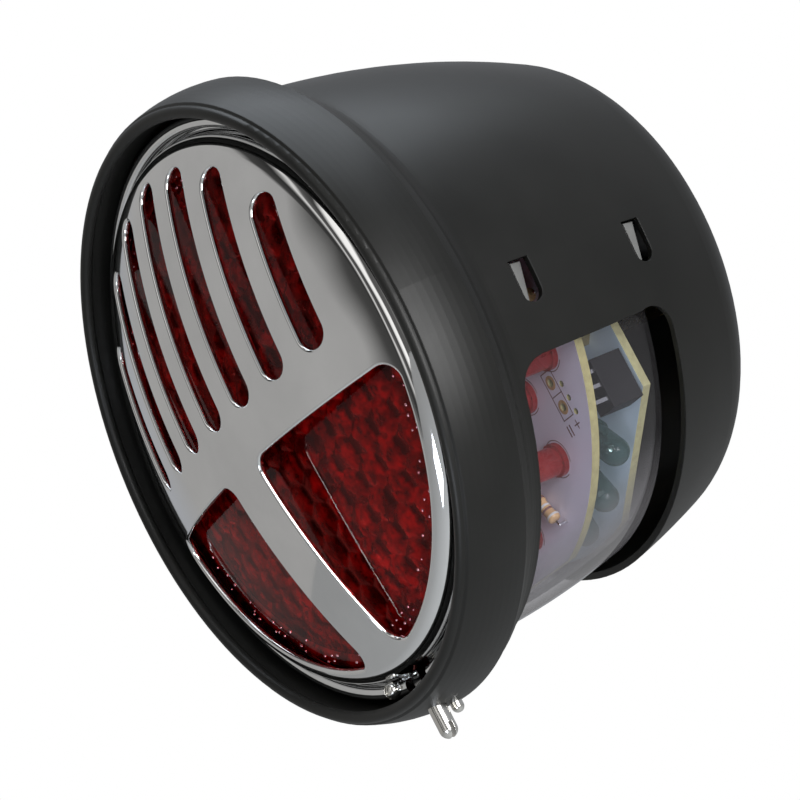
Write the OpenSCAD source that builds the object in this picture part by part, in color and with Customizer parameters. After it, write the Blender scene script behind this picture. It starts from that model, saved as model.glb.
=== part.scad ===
// Round drum tail light with a red stop lens, a slotted grille and a clear window underneath.
// Millimetres. +Y runs from the lens to the mounting face, +Z is up, the window faces -Z.
// The origin is the centre of the mounting face at the back of the drum.

/* [Can] */
// Distance from the front of the rim to the mounting face
can_depth = 75; // [62:0.5:92]
// Largest radius of the drum behind the rim
drum_r = 51.6; // [42:0.2:62]
// Sheet thickness of the can
wall = 1.2; // [0.8:0.1:2]
// How much smaller the flat of the back is than the drum, in radius
back_step = 20.07; // [16:0.01:24]
// Radius of the rounded rear edge of the drum
rear_edge_r = 12; // [8:0.5:16]
// How far the rim stands out from the drum
rim_flare = 4.3; // [2.5:0.1:5]
// Width of the rim from its front to the crease
rim_w = 12.4; // [11:0.2:15]

/* [Front cover] */
// Wire radius of the split ring
ring_wire_r = 1.2; // [0.9:0.05:1.4]
// Opening angle of the split in the ring
ring_gap = 9; // [6:0.5:14]
// How far the grille is domed forward
grille_rise = 10.2; // [6:0.2:13]
// Sheet thickness of the grille
grille_t = 1.1; // [0.8:0.1:1.6]
// Width of the upright slots in the upper half
slot_w = 5.6; // [4:0.2:6.5]
// Distance between neighbouring slots
slot_pitch = 10.8; // [10:0.1:12]
// Height of the bar across the middle
bar_h = 8; // [5:0.5:12]
// Width of the strut below the bar
strut_w = 11; // [7:0.5:14]
// Thickness of the red lens
lens_t = 2.4; // [1.8:0.1:3]
// Thickness of the gasket under the red lens
gasket_t = 2; // [1.5:0.1:3]

/* [Window] */
// Half of the angle that the window takes round the drum
window_half = 71.5; // [45:0.5:75]
// Front edge of the window, from the front of the rim
window_front = 18.2; // [17.6:0.1:22]
// Rear edge of the window, from the front of the rim
window_rear = 52.8; // [44:0.2:56]
// Corner radius of the window
window_corner = 5; // [2:0.5:8]
// Gap between the drum's outer face and the clear lens
window_drop = 3.2; // [2.8:0.1:4]
// Thickness of the clear lens
window_t = 1.8; // [1.2:0.1:2.4]

/* [Circuit boards] */
// Thickness of both boards
board_t = 1.6; // [1:0.1:2]
// Front face of the front board, from the front of the rim
front_board_at = 34.5; // [33:0.5:37]
// Front face of the rear board, from the front of the rim
rear_board_at = 48; // [46.5:0.5:50]
// Body radius of the lamps on the boards
led_r = 2.5; // [1.5:0.1:2.5]
// Thread radius of the spacers and board screws
m3_r = 1.5; // [1:0.1:1.5]

/* [Fixings] */
// Thread radius of the two weld nuts in the mounting face
bolt_r = 3; // [2.5:0.5:3]
// Distance between the two mounting holes
bolt_spacing = 50; // [44:1:50]
// Thickness of the weld nuts
nut_t = 5; // [4:0.5:6]
// Radius of the cable hole in the grommet
grommet_bore_r = 3.5; // [2:0.5:4.5]
// Radius of the lock screw in the rim
lock_r = 1.6; // [1.2:0.1:2]
// How far the lock screw stands out of the rim
lock_out = 5.2; // [3:0.2:9]

/* [Hidden] */
$fn = 96;

// Running clearances and small margins
slip = 0.4;
run = 0.06;
// Barrel and rear corner
barrel_at = 16.5;
rear_c_w = can_depth - rear_edge_r;
barrel_r = (pow(rear_edge_r, 2) - pow(back_step, 2) - pow(rear_c_w - barrel_at, 2))
    / (2 * rear_edge_r - 2 * back_step);
barrel_c = drum_r - barrel_r;
rear_c_r = barrel_c + sqrt(pow(barrel_r - rear_edge_r, 2) - pow(rear_c_w - barrel_at, 2));
rear_ray = [rear_c_r - barrel_c, rear_c_w - barrel_at];
// Rim
rim_r = drum_r + rim_flare;
lip_tube = 1.05;
lip_r = rim_r - 3.1;
bore_r = lip_r - 0.25;
ledge_at = rim_w;
ledge_r = drum_r - wall - 0.4;
// Front cover stack, from the ledge forwards
gasket_at = ledge_at - gasket_t;
flange_r = lip_r - lip_tube - slip;
lens_flange_t = 2.5;
lens_at = gasket_at - lens_flange_t;
grille_flange_t = 1;
grille_at = lens_at - grille_flange_t;
ring_at = grille_at - ring_wire_r;
ring_r = flange_r - ring_wire_r;
grille_r = ring_r - ring_wire_r - 0.8;
grille_edge_at = 2.6;
grille_apex = grille_edge_at - grille_rise;
grille_R = (grille_r * grille_r + grille_rise * grille_rise) / (2 * grille_rise);
lens_r = grille_r - grille_t - 0.9;
lens_edge_at = grille_edge_at + 1.1;
lens_rise = grille_rise * 0.55;
lens_apex = lens_edge_at - lens_rise;
lens_R = (lens_r * lens_r + lens_rise * lens_rise) / (2 * lens_rise);
notch_half = lock_r + 0.9;
notch_r = grille_r - 0.6;
open_r = grille_r - 3.3;
slots_side = 3;
lug_angle = -ring_gap / 2 - 5;
lug_r = ring_r - 0.3;
// Window parts
window_seat = 8;
window_lens_front = 15.5;
window_lens_rear = window_rear - 3.1;
tab_angle = window_half + 13;
// Boards
lens_in_front = drum_at(front_board_at + board_t) - window_drop - window_t;
lens_in_rear = drum_at(rear_board_at + board_t) - window_drop - window_t;
front_board_r = lens_in_front - 0.5;
rear_board_r = lens_in_rear - 0.5;
rear_flat = rear_board_r - 8.1;
rear_chord = rear_board_r - 2.5;
chord_angle = 34.1;
back_in = can_depth - wall;
spacer_angles = [68, 188, 308];
spacer_af = 5.5;
led_h = 8.6;
led_rings = [[36.5, 12, 8], [28.5, 12, 23], [20.5, 8, 22.5], [10, 4, 0]];
led_scale = front_board_r / 44.8;
spacer_r = 28 * led_scale;
lead_r = 0.25;
hole_r = lead_r + 0.05;
window_led_angles = [-37.5, -22.5, -7.5, 7.5, 22.5, 37.5];
window_led_w = rear_board_at - led_r - 1.4;
window_led_tip = lens_in_rear - 0.7;
reg = [31.8, 21.8] * led_scale;
lock_w = ring_at;
lock_in = flange_r + 0.3;
rivet_w = ring_at + 3.6;
lock_hole = lock_r + run;

// Outer radius of the drum at a depth behind the rim's front
function drum_at(w) = barrel_c + sqrt(barrel_r * barrel_r - pow(w - barrel_at, 2));
// Points along an arc in the radius and depth plane
function arc(cx, cy, r, a0, a1, n) =
    [for (i = [0:n]) let (a = a0 + (a1 - a0) * i / n) [cx + r * cos(a), cy + r * sin(a)]];

// Turns the depth axis onto +Y with the mounting face at the origin
module lay() {
    translate([0, -can_depth, 0]) rotate([-90, 0, 0]) children();
}

// Carries children from the downward direction round the axis to an angle and out to a radius
module at(angle, r, w) {
    rotate([0, 0, 90 - angle]) translate([r, 0, w]) children();
}

// Stands a shape on the drum so that its own Z points outwards
module outward(angle, r, w) {
    at(angle, r, w) rotate([0, 90, 0]) children();
}

// Solid outline of the drum from the axis, taken in from the outer face by an inset
module drum_2d(inset, from) {
    intersection() {
        translate([barrel_c, barrel_at]) circle(r = barrel_r - inset, $fn = 360);
        polygon([[0, from], [drum_r + 5, from],
            [rear_c_r + rear_ray[0], rear_c_w + rear_ray[1]], [rear_c_r, rear_c_w], [0, rear_c_w]]);
    }
    translate([0, rear_c_w - 5]) square([rear_c_r, rear_edge_r + 5 - inset]);
    intersection() {
        translate([rear_c_r, rear_c_w]) circle(r = rear_edge_r - inset);
        translate([rear_c_r, rear_c_w - 20]) square([40, 40]);
    }
}

// Part of a turned profile between two angles either side of straight down
module swept(half) {
    rotate([0, 0, 90 - half]) rotate_extrude(angle = 2 * half) children();
}

// Section of the rim with its rolled lip, hem, crease and cove
module rim_2d() {
    translate([lip_r, lip_tube]) circle(r = lip_tube, $fn = 48);
    difference() {
        polygon(concat(
            [[bore_r, lip_tube], [lip_r + lip_tube, lip_tube]],
            arc(rim_r - 24, rim_w * 0.8, 24, -21, 4, 8),
            [[rim_r - 0.7, rim_w + 0.1]],
            arc(drum_r + 5.2, rim_w + 6, 5.2, 245, 180, 8),
            [[drum_r - wall, rim_w + 6], [drum_r - wall, rim_w + 1.8], [ledge_r, rim_w + 1.4],
                [ledge_r, ledge_at], [bore_r, ledge_at]]));
        translate([0, -1]) square([bore_r, ledge_at + 1]);
    }
}

// Radial cut through the drum for the window, with rounded corners
module window_cut() {
    d = window_corner / drum_at((window_front + window_rear) / 2) * 57.2958;
    low = drum_r - 14;
    swept(window_half - d) translate([low, window_front]) square([30, window_rear - window_front]);
    swept(window_half) translate([low, window_front + window_corner])
        square([30, window_rear - window_front - 2 * window_corner]);
    for (s = [-1, 1], w = [window_front + window_corner, window_rear - window_corner])
        outward(s * (window_half - d), low, w) cylinder(r = window_corner, h = 30);
}

// Outline of a lanced tab: straight on top, round below
module tab_2d(len, wide) {
    translate([-len / 2, -wide / 2]) square([len - wide / 2, wide]);
    translate([len / 2 - wide / 2, 0]) circle(d = wide);
}

// Slot left by a lanced tab, and the tab bent inwards from its front edge
module tab_cut(side, w) {
    outward(side * tab_angle, drum_at(w) - 4, w) rotate([0, 0, side > 0 ? 90 : -90])
        linear_extrude(8) tab_2d(7.4, 4.1);
}
module tab_flap(side, w) {
    outward(side * tab_angle, drum_at(w - 2) - wall, w - 2.05)
        rotate([0, 0, side > 0 ? 90 : -90]) rotate([side * -24, 0, 0]) translate([0, 0, 0.1])
            linear_extrude(0.9) scale([1, side]) polygon([[-3.4, -0.2], [-3.4, 3.1], [3.3, 0.8], [3.3, -0.2]]);
}

module can_body() {
    color([0.16, 0.16, 0.16]) lay() {
        difference() {
            union() {
                rotate_extrude($fn = 180) rim_2d();
                rotate_extrude($fn = 180) difference() {
                    drum_2d(0, rim_w + 5.9);
                    drum_2d(wall, 0);
                }
            }
            window_cut();
            for (s = [-1, 1], w = [25.8, 51.6]) tab_cut(s, w);
            for (x = [-1, 1]) translate([x * bolt_spacing / 2, 0, back_in - 1]) cylinder(r = bolt_r, h = 4);
            translate([0, 0, back_in - 1]) cylinder(r = 6, h = 4);
            for (a = spacer_angles) at(a, spacer_r, back_in - 1) cylinder(r = 2, h = 4);
            outward(0, bore_r - 3, lock_w) cylinder(r = lock_hole, h = 12);
            outward(0, bore_r + 0.8, rivet_w) cylinder(r = 1.1, h = 12);
        }
        for (s = [-1, 1], w = [25.8, 51.6]) tab_flap(s, w);
    }
}

module retaining_ring() {
    color([0.78, 0.79, 0.8]) lay() difference() {
        union() {
            rotate([0, 0, 90 + ring_gap / 2]) rotate_extrude(angle = 360 - ring_gap, $fn = 180)
                translate([ring_r, ring_at]) circle(r = ring_wire_r, $fn = 32);
            at(lug_angle, lug_r, ring_at - ring_wire_r) cylinder(r = ring_wire_r + 0.3, h = 2 * ring_wire_r);
        }
        at(lug_angle, lug_r, ring_at - 4) cylinder(r = 1, h = 8);
    }
}

module ring_clamp_screw() {
    color([0.7, 0.7, 0.72]) lay() at(lug_angle, lug_r, 0) difference() {
        union() {
            intersection() {
                translate([0, 0, ring_at - ring_wire_r]) sphere(r = ring_wire_r + 0.4);
                translate([-3, -3, ring_at - ring_wire_r - 4]) cube([6, 6, 4]);
            }
            translate([0, 0, ring_at - ring_wire_r - 0.1]) cylinder(r = 0.95, h = 5.2);
        }
        for (a = [0, 90]) translate([0, 0, ring_at - ring_wire_r - 1.2]) rotate([0, 0, a])
            cube([2.2, 0.5, 0.9], center = true);
    }
}

// Upright slot with round ends, cut off by the border circle
module upright_slot(x) {
    top = sqrt(open_r * open_r - pow(abs(x) + slot_w / 2, 2));
    translate([x - slot_w / 2, -top + slot_w * 0.42]) square([slot_w, top - slot_w * 0.84 - 1]);
    translate([x, -top + slot_w / 2]) circle(d = slot_w);
    translate([x, -slot_w / 2 - 1]) circle(d = slot_w);
}

// One quadrant opening below the bar
module quadrant(side) {
    c = 3.2;
    x0 = strut_w / 2 + c;
    y0 = bar_h - 1 + c;
    rr = open_r - c;
    a0 = asin(y0 / rr);
    a1 = acos(x0 / rr);
    scale([side, 1]) {
        difference() {
            intersection() {
                circle(r = open_r);
                translate([strut_w / 2, bar_h - 1]) square([60, 60]);
            }
            translate([rr * cos(a0), -10]) square([30, y0 + 10]);
            translate([-10, rr * sin(a1)]) square([x0 + 10, 30]);
            difference() {
                translate([strut_w / 2 - 1, bar_h - 2]) square([c + 1, c + 1]);
                translate([x0, y0]) circle(r = c);
            }
        }
        translate([rr * cos(a0), y0]) circle(r = c);
        translate([x0, rr * sin(a1)]) circle(r = c);
    }
}

// Section of a domed cover: dome, skirt and flange
module dome_2d(R, apex, edge_r, t, flange_from, flange_t) {
    difference() {
        intersection() {
            translate([0, apex + R]) circle(r = R, $fn = 360);
            translate([0, apex - 1]) square([edge_r, flange_from + flange_t - apex + 1]);
        }
        intersection() {
            translate([0, apex + R]) circle(r = R - t, $fn = 360);
            square([2 * (edge_r - t), 4 * R], center = true);
        }
    }
    translate([edge_r - t, flange_from]) square([flange_r - edge_r + t, flange_t]);
}

module grille_plate() {
    color([0.8, 0.81, 0.82]) lay() difference() {
        rotate_extrude($fn = 180) dome_2d(grille_R, grille_apex, grille_r, grille_t, grille_at, grille_flange_t);
        translate([0, 0, grille_apex - 2]) linear_extrude(grille_rise + 8) {
            for (i = [-slots_side:slots_side]) upright_slot(i * slot_pitch);
            quadrant(1);
            quadrant(-1);
        }
        translate([-notch_half, notch_r, -5]) cube([2 * notch_half, 9, 20]);
        at(lug_angle, lug_r, 0) cylinder(r = 1, h = 20);
    }
}

module red_lens() {
    color([0.7, 0.03, 0.03, 0.6]) lay() difference() {
        rotate_extrude($fn = 180) dome_2d(lens_R, lens_apex, lens_r, lens_t, lens_at, lens_flange_t);
        translate([-notch_half, notch_r, 0]) cube([2 * notch_half, 9, 20]);
        at(lug_angle, lug_r, 0) cylinder(r = 1, h = ring_at + 4);
    }
}

module lens_gasket() {
    color([0.08, 0.08, 0.08]) lay() difference() {
        translate([0, 0, gasket_at]) cylinder(r = flange_r, h = gasket_t, $fn = 180);
        translate([0, 0, gasket_at - 1]) cylinder(r = flange_r - 4.4, h = gasket_t + 2, $fn = 180);
    }
}

// Band that follows the barrel of the drum between two insets and two depths
module band_2d(a, b, w0, w1) {
    intersection() {
        difference() {
            translate([barrel_c, barrel_at]) circle(r = barrel_r - a, $fn = 360);
            translate([barrel_c, barrel_at]) circle(r = barrel_r - b, $fn = 360);
        }
        translate([20, w0]) square([60, w1 - w0]);
    }
}

module window_lens() {
    color([0.85, 0.88, 0.9, 0.35]) lay() swept(window_half + window_seat)
        band_2d(window_drop, window_drop + window_t, window_lens_front, window_lens_rear);
}

module window_gasket() {
    color([0.05, 0.05, 0.05]) lay() difference() {
        swept(window_half + window_seat)
            band_2d(wall + 0.05, window_drop - 0.05, window_lens_front, window_lens_rear);
        swept(window_half + 2) translate([20, window_front - 0.6]) square([60, 60]);
    }
}

module front_board() {
    color([0.72, 0.7, 0.78]) lay() difference() {
        translate([0, 0, front_board_at]) cylinder(r = front_board_r, h = board_t);
        for (s = [-1, 1]) translate([-50, s > 0 ? front_board_r - 1.4 : -front_board_r - 98.6, 0])
            cube([100, 100, 60]);
        for (a = spacer_angles) at(a, spacer_r, 0) cylinder(r = m3_r + 0.1, h = 60);
        for (v = [-3.8, 0.7]) translate([reg[0] - 1, reg[1] + v, 0]) cylinder(r = 0.7, h = 60);
        for (v = [-2.54, 0, 2.54]) translate([reg[0] + 1.65, reg[1] + v, 0]) cylinder(r = 0.55, h = 60);
        on_rings() for (x = [-1.27, 1.27]) translate([x, 0, -1]) cylinder(r = hole_r, h = 4);
        on_resistors() wire_holes(5.2, 1.1);
        link_pins(0.06);
    }
}

module rear_board() {
    color([0.68, 0.74, 0.78]) lay() intersection() {
        difference() {
            translate([0, 0, rear_board_at]) cylinder(r = rear_board_r, h = board_t);
            for (a = spacer_angles) at(a, spacer_r, 0) cylinder(r = m3_r + 0.1, h = 60);
            window_lead_runs(hole_r);
            on_diodes() wire_holes(5.2, 1.2);
            on_capacitor() for (x = [-1.25, 1.25]) translate([x, 0, -2]) cylinder(r = 0.35, h = 9);
            link_pins(0.06);
        }
        translate([-rear_flat, -50, 0]) cube([2 * rear_flat, 100, 80]);
        rotate([0, 0, chord_angle]) translate([-50, -rear_chord, 0]) cube([100, 2 * rear_chord, 80]);
        rotate([0, 0, -chord_angle]) translate([-50, -rear_chord, 0]) cube([100, 2 * rear_chord, 80]);
    }
}

module board_spacers() {
    color([0.75, 0.65, 0.4]) lay() for (a = spacer_angles) at(a, spacer_r, 0) difference() {
        union() {
            translate([0, 0, front_board_at + board_t])
                cylinder(d = spacer_af / cos(30), h = rear_board_at - front_board_at - board_t, $fn = 6);
            translate([0, 0, rear_board_at - 0.1]) cylinder(r = m3_r, h = board_t + 5);
        }
        translate([0, 0, front_board_at]) cylinder(r = m3_r, h = 6);
    }
}

module rear_standoffs() {
    color([0.75, 0.65, 0.4]) lay() for (a = spacer_angles) at(a, spacer_r, 0) difference() {
        union() {
            translate([0, 0, rear_board_at + board_t])
                cylinder(d = spacer_af / cos(30), h = back_in - rear_board_at - board_t, $fn = 6);
            translate([0, 0, back_in - 0.1]) cylinder(r = 2, h = wall + 0.1);
        }
        translate([0, 0, rear_board_at]) cylinder(r = m3_r, h = 8);
    }
}

module board_screws() {
    color([0.75, 0.75, 0.76]) lay() for (a = spacer_angles) at(a, spacer_r, front_board_at) difference() {
        union() {
            translate([0, 0, -1.9]) cylinder(r = m3_r * 1.83, h = 1.9);
            translate([0, 0, -0.1]) cylinder(r = m3_r, h = board_t + 4.2);
        }
        for (b = [0, 90]) translate([0, 0, -1.6]) rotate([0, 0, b]) cube([3.2, 0.7, 1.2], center = true);
    }
}

// Lamp with a flange, a barrel and a dome; its base is at zero and it points along -Z
module led() {
    translate([0, 0, -1]) cylinder(r = led_r + 0.4, h = 1);
    translate([0, 0, led_r - led_h]) cylinder(r = led_r, h = led_h - led_r);
    translate([0, 0, led_r - led_h]) sphere(r = led_r);
}

// Places children at every lamp on the front board
module on_rings() {
    for (g = led_rings) for (i = [0:g[1] - 1])
        at(g[2] + i * 360 / g[1], g[0] * led_scale, front_board_at) children();
}

module red_leds() {
    color([0.75, 0.05, 0.05]) lay() on_rings() led();
}

module red_led_leads() {
    color([0.8, 0.8, 0.82]) lay() on_rings() for (x = [-1.27, 1.27])
        translate([x, 0, 0]) cylinder(r = lead_r, h = board_t + 1);
}

module window_leds() {
    color([0.85, 0.9, 0.92, 0.6]) lay() for (a = window_led_angles)
        outward(a, window_led_tip - led_h, window_led_w) rotate([180, 0, 0]) led();
}

// Wires of the window lamps: straight back from each lamp, then through the rear board
module window_lead_runs(r) {
    low = window_led_tip - led_h;
    h = rear_board_at + board_t + 0.8 - window_led_w;
    for (a = window_led_angles, x = [-1.27, 1.27]) at(a, low - 2.6, window_led_w) translate([0, x, 0]) {
        rotate([0, 90, 0]) cylinder(r = r, h = 2.6);
        cylinder(r = r, h = h);
        sphere(r = r);
    }
}

module window_led_leads() {
    color([0.8, 0.8, 0.82]) lay() window_lead_runs(lead_r);
}

module regulator() {
    color([0.12, 0.12, 0.12]) lay() difference() {
        translate([reg[0] - 2.6, reg[1] - 4.4, rear_board_at - 6.8]) cube([4.8, 8.8, 6.3]);
        translate([reg[0] + 2.2, reg[1] - 5, rear_board_at - 6.8]) rotate([0, 0, 45]) cube([0.7, 0.7, 14], center = true);
    }
}

module regulator_leads() {
    color([0.82, 0.82, 0.84]) lay() for (v = [-2.54, 0, 2.54])
        translate([reg[0] + 1.4, reg[1] + v - 0.35, front_board_at + 0.5])
            cube([0.5, 0.7, rear_board_at - 6.8 - front_board_at - 0.5]);
}

// Axial part along X with its centre at the origin
module axial_body(r, len) {
    rotate([0, 90, 0]) cylinder(r = r, h = len, center = true);
}
module axial_leads(len, reach, drop) {
    for (s = [-1, 1]) {
        translate([s * (len + reach) / 2, 0, 0]) rotate([0, 90, 0]) cylinder(r = lead_r, h = reach, center = true);
        translate([s * (len / 2 + reach), 0, 0]) sphere(r = lead_r);
        translate([s * (len / 2 + reach), 0, 0]) cylinder(r = lead_r, h = drop);
    }
}
module wire_holes(len, reach) {
    for (s = [-1, 1]) translate([s * (len / 2 + reach), 0, -1]) cylinder(r = hole_r, h = 9);
}
// Resistors lie between the lamps of the outer ring, pointing outwards
module on_resistors() {
    for (a = [23:60:323]) at(a, 37.5 * led_scale, front_board_at - 1.45) children();
}

module resistors() {
    color([0.78, 0.6, 0.4]) lay() on_resistors() axial_body(1.15, 5.2);
}

module resistor_leads() {
    color([0.8, 0.8, 0.82]) lay() on_resistors() axial_leads(5.2, 1.1, board_t + 2.2);
}

module on_capacitor() {
    translate([-17, -22, rear_board_at]) children();
}

module capacitor() {
    color([0.15, 0.2, 0.35]) lay() on_capacitor() {
        translate([0, 0, -8.6]) cylinder(r = 3.2, h = 8.6);
        for (x = [-1.25, 1.25]) translate([x, 0, -0.1]) cylinder(r = 0.3, h = board_t + 1);
    }
}

module on_diodes() {
    for (x = [-12, 0, 12]) translate([x, -6, rear_board_at - 1.6]) rotate([0, 0, 90]) children();
}

module diodes() {
    color([0.1, 0.1, 0.1]) lay() on_diodes() axial_body(1.35, 5.2);
}

module diode_leads() {
    color([0.8, 0.8, 0.82]) lay() on_diodes() axial_leads(5.2, 1.2, board_t + 2.4);
}

// Square pins that join the two boards, with a margin all round
module link_pins(m) {
    for (i = [-2:1:2]) translate([i * 2.54 - 0.3 - m, 14.7 * led_scale - m, front_board_at - 1])
        cube([0.6 + 2 * m, 0.6 + 2 * m, rear_board_at + board_t + 2 - front_board_at]);
}

module board_link_pins() {
    color([0.8, 0.7, 0.35]) lay() link_pins(0);
}

module mounting_nuts() {
    color([0.75, 0.74, 0.68]) lay() for (s = [-1, 1]) translate([s * bolt_spacing / 2, 0, back_in - nut_t])
        difference() {
            cylinder(d = (2 * bolt_r + 4) / cos(30), h = nut_t, $fn = 6);
            translate([0, 0, -1]) cylinder(r = bolt_r, h = nut_t + 2);
        }
}

module cable_grommet() {
    color([0.07, 0.07, 0.07]) lay() difference() {
        rotate_extrude() polygon([[0, back_in - 1.5], [8.2, back_in - 1.5], [8.2, back_in], [6, back_in],
            [6, can_depth], [8.2, can_depth], [8.2, can_depth + 1], [7.4, can_depth + 1.6], [0, can_depth + 1.6]]);
        translate([0, 0, back_in - 4]) cylinder(r = grommet_bore_r, h = 12);
    }
}

module lock_screw() {
    top = rim_r + lock_out;
    color([0.8, 0.8, 0.78]) lay() outward(0, 0, lock_w) difference() {
        union() {
            translate([0, 0, lock_in]) cylinder(r = lock_r, h = top - lock_in - lock_r);
            translate([0, 0, top - lock_r]) sphere(r = lock_r);
        }
        translate([-0.4, -5, top - 2.6]) cube([0.8, 10, 4]);
    }
}

module lock_rivet() {
    color([0.8, 0.8, 0.78]) lay() outward(0, 0, rivet_w) {
        translate([0, 0, bore_r + 0.8]) cylinder(r = 1.1, h = rim_r - bore_r);
        translate([0, 0, rim_r + 0.8]) sphere(r = 1.1);
    }
}

can_body();
retaining_ring();
ring_clamp_screw();
grille_plate();
red_lens();
lens_gasket();
window_lens();
window_gasket();
front_board();
rear_board();
board_spacers();
rear_standoffs();
board_screws();
red_leds();
red_led_leads();
window_leds();
window_led_leads();
regulator();
regulator_leads();
resistors();
resistor_leads();
capacitor();
diodes();
diode_leads();
board_link_pins();
mounting_nuts();
cable_grommet();
lock_screw();
lock_rivet();
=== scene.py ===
import math
import random

import bmesh
import bpy
import numpy as np
from mathutils import Matrix, Vector
from mathutils.geometry import delaunay_2d_cdt


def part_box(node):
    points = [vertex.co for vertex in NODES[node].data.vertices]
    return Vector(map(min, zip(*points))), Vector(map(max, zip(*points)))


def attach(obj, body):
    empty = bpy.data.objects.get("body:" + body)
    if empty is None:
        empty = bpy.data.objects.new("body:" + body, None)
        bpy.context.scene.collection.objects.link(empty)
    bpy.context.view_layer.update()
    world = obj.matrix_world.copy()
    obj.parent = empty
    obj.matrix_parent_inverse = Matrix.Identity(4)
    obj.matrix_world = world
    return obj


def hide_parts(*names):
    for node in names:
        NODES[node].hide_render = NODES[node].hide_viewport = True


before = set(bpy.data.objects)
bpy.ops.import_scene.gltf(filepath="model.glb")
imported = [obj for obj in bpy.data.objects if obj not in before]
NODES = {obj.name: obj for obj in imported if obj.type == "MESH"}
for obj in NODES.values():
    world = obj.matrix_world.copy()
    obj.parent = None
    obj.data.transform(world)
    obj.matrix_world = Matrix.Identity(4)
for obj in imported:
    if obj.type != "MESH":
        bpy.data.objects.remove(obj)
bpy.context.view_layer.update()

# Millimetres: x to the right, v down, w back from the front of the rim. The frame is (x, w - DEPTH, -v).
DEPTH = 75.0
rng = random.Random(7)


def P(x, v, w):
    return Vector((x * 0.001, (w - DEPTH) * 0.001, -v * 0.001))


def at(angle, r):
    a = math.radians(angle)
    return r * math.sin(a), r * math.cos(a)


# ---------------------------------------------------------------- camera
cam_data = bpy.data.cameras.new("camera")
cam_data.sensor_width = 36
cam_data.lens = 157.5
cam_data.clip_start = 0.01
cam_data.clip_end = 20
cam = bpy.data.objects.new("camera", cam_data)
right, up, back = (0.41082, 0.79038, -0.45445), (0.36523, 0.31404, 0.87635), (0.83536, -0.52600, -0.15965)
turn = Matrix((right, up, back)).transposed().to_4x4()
cam.matrix_world = Matrix.Translation((0.49529, -0.36016, -0.10019)) @ turn
bpy.context.scene.collection.objects.link(cam)
bpy.context.scene.camera = cam


# ---------------------------------------------------------------- materials
class Tree:
    """A material's node tree with short ways to add nodes."""

    def __init__(self, name):
        self.m = bpy.data.materials.new(name)
        self.m.use_nodes = True
        self.t = self.m.node_tree
        self.t.nodes.clear()
        self.out = self.t.nodes.new("ShaderNodeOutputMaterial")
        self.coord = self.t.nodes.new("ShaderNodeTexCoord")

    def node(self, kind, links=None, **values):
        n = self.t.nodes.new(kind)
        for k, v in values.items():
            setattr(n, k, v)
        for k, v in (links or {}).items():
            s = n.inputs[k]
            if isinstance(v, bpy.types.NodeSocket):
                self.t.links.new(v, s)
            else:
                s.default_value = v
        return n

    def noise(self, scale, detail=3.0, rough=0.55, vector=None):
        v = self.coord.outputs["Object"] if vector is None else vector
        return self.node("ShaderNodeTexNoise", {"Vector": v, "Scale": scale, "Detail": detail,
                                                "Roughness": rough}).outputs["Fac"]

    def spread(self, fac, lo, hi, a=0.3, b=0.7):
        return self.node("ShaderNodeMapRange", {"Value": fac, "From Min": a, "From Max": b,
                                                "To Min": lo, "To Max": hi}).outputs["Result"]

    def mix(self, fac, a, b):
        n = self.node("ShaderNodeMix", data_type="RGBA")
        for s, v in ((n.inputs[0], fac), (n.inputs[6], a), (n.inputs[7], b)):
            if isinstance(v, bpy.types.NodeSocket):
                self.t.links.new(v, s)
            else:
                s.default_value = v if not isinstance(v, tuple) else (*v, 1)
        return n.outputs[2]

    def math(self, op, a, b=0.0):
        return self.node("ShaderNodeMath", {0: a, 1: b}, operation=op).outputs[0]

    def bump(self, height, strength, distance, normal=None):
        links = {"Height": height, "Strength": strength, "Distance": distance}
        if normal is not None:
            links["Normal"] = normal
        return self.node("ShaderNodeBump", links).outputs["Normal"]

    def edge(self, radius):
        return self.node("ShaderNodeBevel", {"Radius": radius}, samples=4).outputs["Normal"]

    def principled(self, **values):
        links = {}
        for k, v in values.items():
            key = k.replace("_", " ")
            links[key] = (*v, 1) if isinstance(v, tuple) and len(v) == 3 else v
        return self.node("ShaderNodeBsdfPrincipled", links)

    def finish(self, shader):
        """Links the shader's first output to the surface."""
        self.t.links.new(shader.outputs[0], self.out.inputs["Surface"])
        return self.m


def metal(name, base, dark, rough=0.12, spread=0.08, scale=500, bump=0.03, edge=0.00015):
    t = Tree(name)
    n = t.noise(scale, 5)
    smear = t.noise(90, 3)
    col = t.mix(t.spread(smear, 0, 1), base, dark)
    r = t.spread(n, rough, rough + spread)
    nor = t.bump(n, bump, 0.00002, t.edge(edge))
    return t.finish(t.principled(Base_Color=col, Metallic=1.0, Roughness=r, Normal=nor))


def plastic(name, base, dark, rough=0.35, spread=0.1, scale=700, bump=0.08, edge=0.0002, spec=0.5):
    t = Tree(name)
    n = t.noise(scale, 4)
    cloud = t.noise(120, 3)
    col = t.mix(t.spread(cloud, 0, 1), base, dark)
    r = t.spread(n, rough, rough + spread)
    nor = t.bump(n, bump, 0.00004, t.edge(edge))
    return t.finish(t.principled(Base_Color=col, Roughness=r, Normal=nor, Specular_IOR_Level=spec))


def paint():
    t = Tree("satin_black_paint")
    peel = t.noise(1100, 2)
    cloud = t.noise(35, 4)
    grit = t.noise(5200, 2)
    col = t.mix(t.spread(cloud, 0, 1), (0.0058, 0.0058, 0.0052), (0.0092, 0.0092, 0.0084))
    r = t.spread(cloud, 0.36, 0.46)
    h = t.math("ADD", t.math("MULTIPLY", peel, 0.7), t.math("MULTIPLY", grit, 0.3))
    nor = t.bump(h, 0.10, 0.00005, t.edge(0.0003))
    return t.finish(t.principled(Base_Color=col, Roughness=r, Normal=nor, Specular_IOR_Level=0.27))


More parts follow.
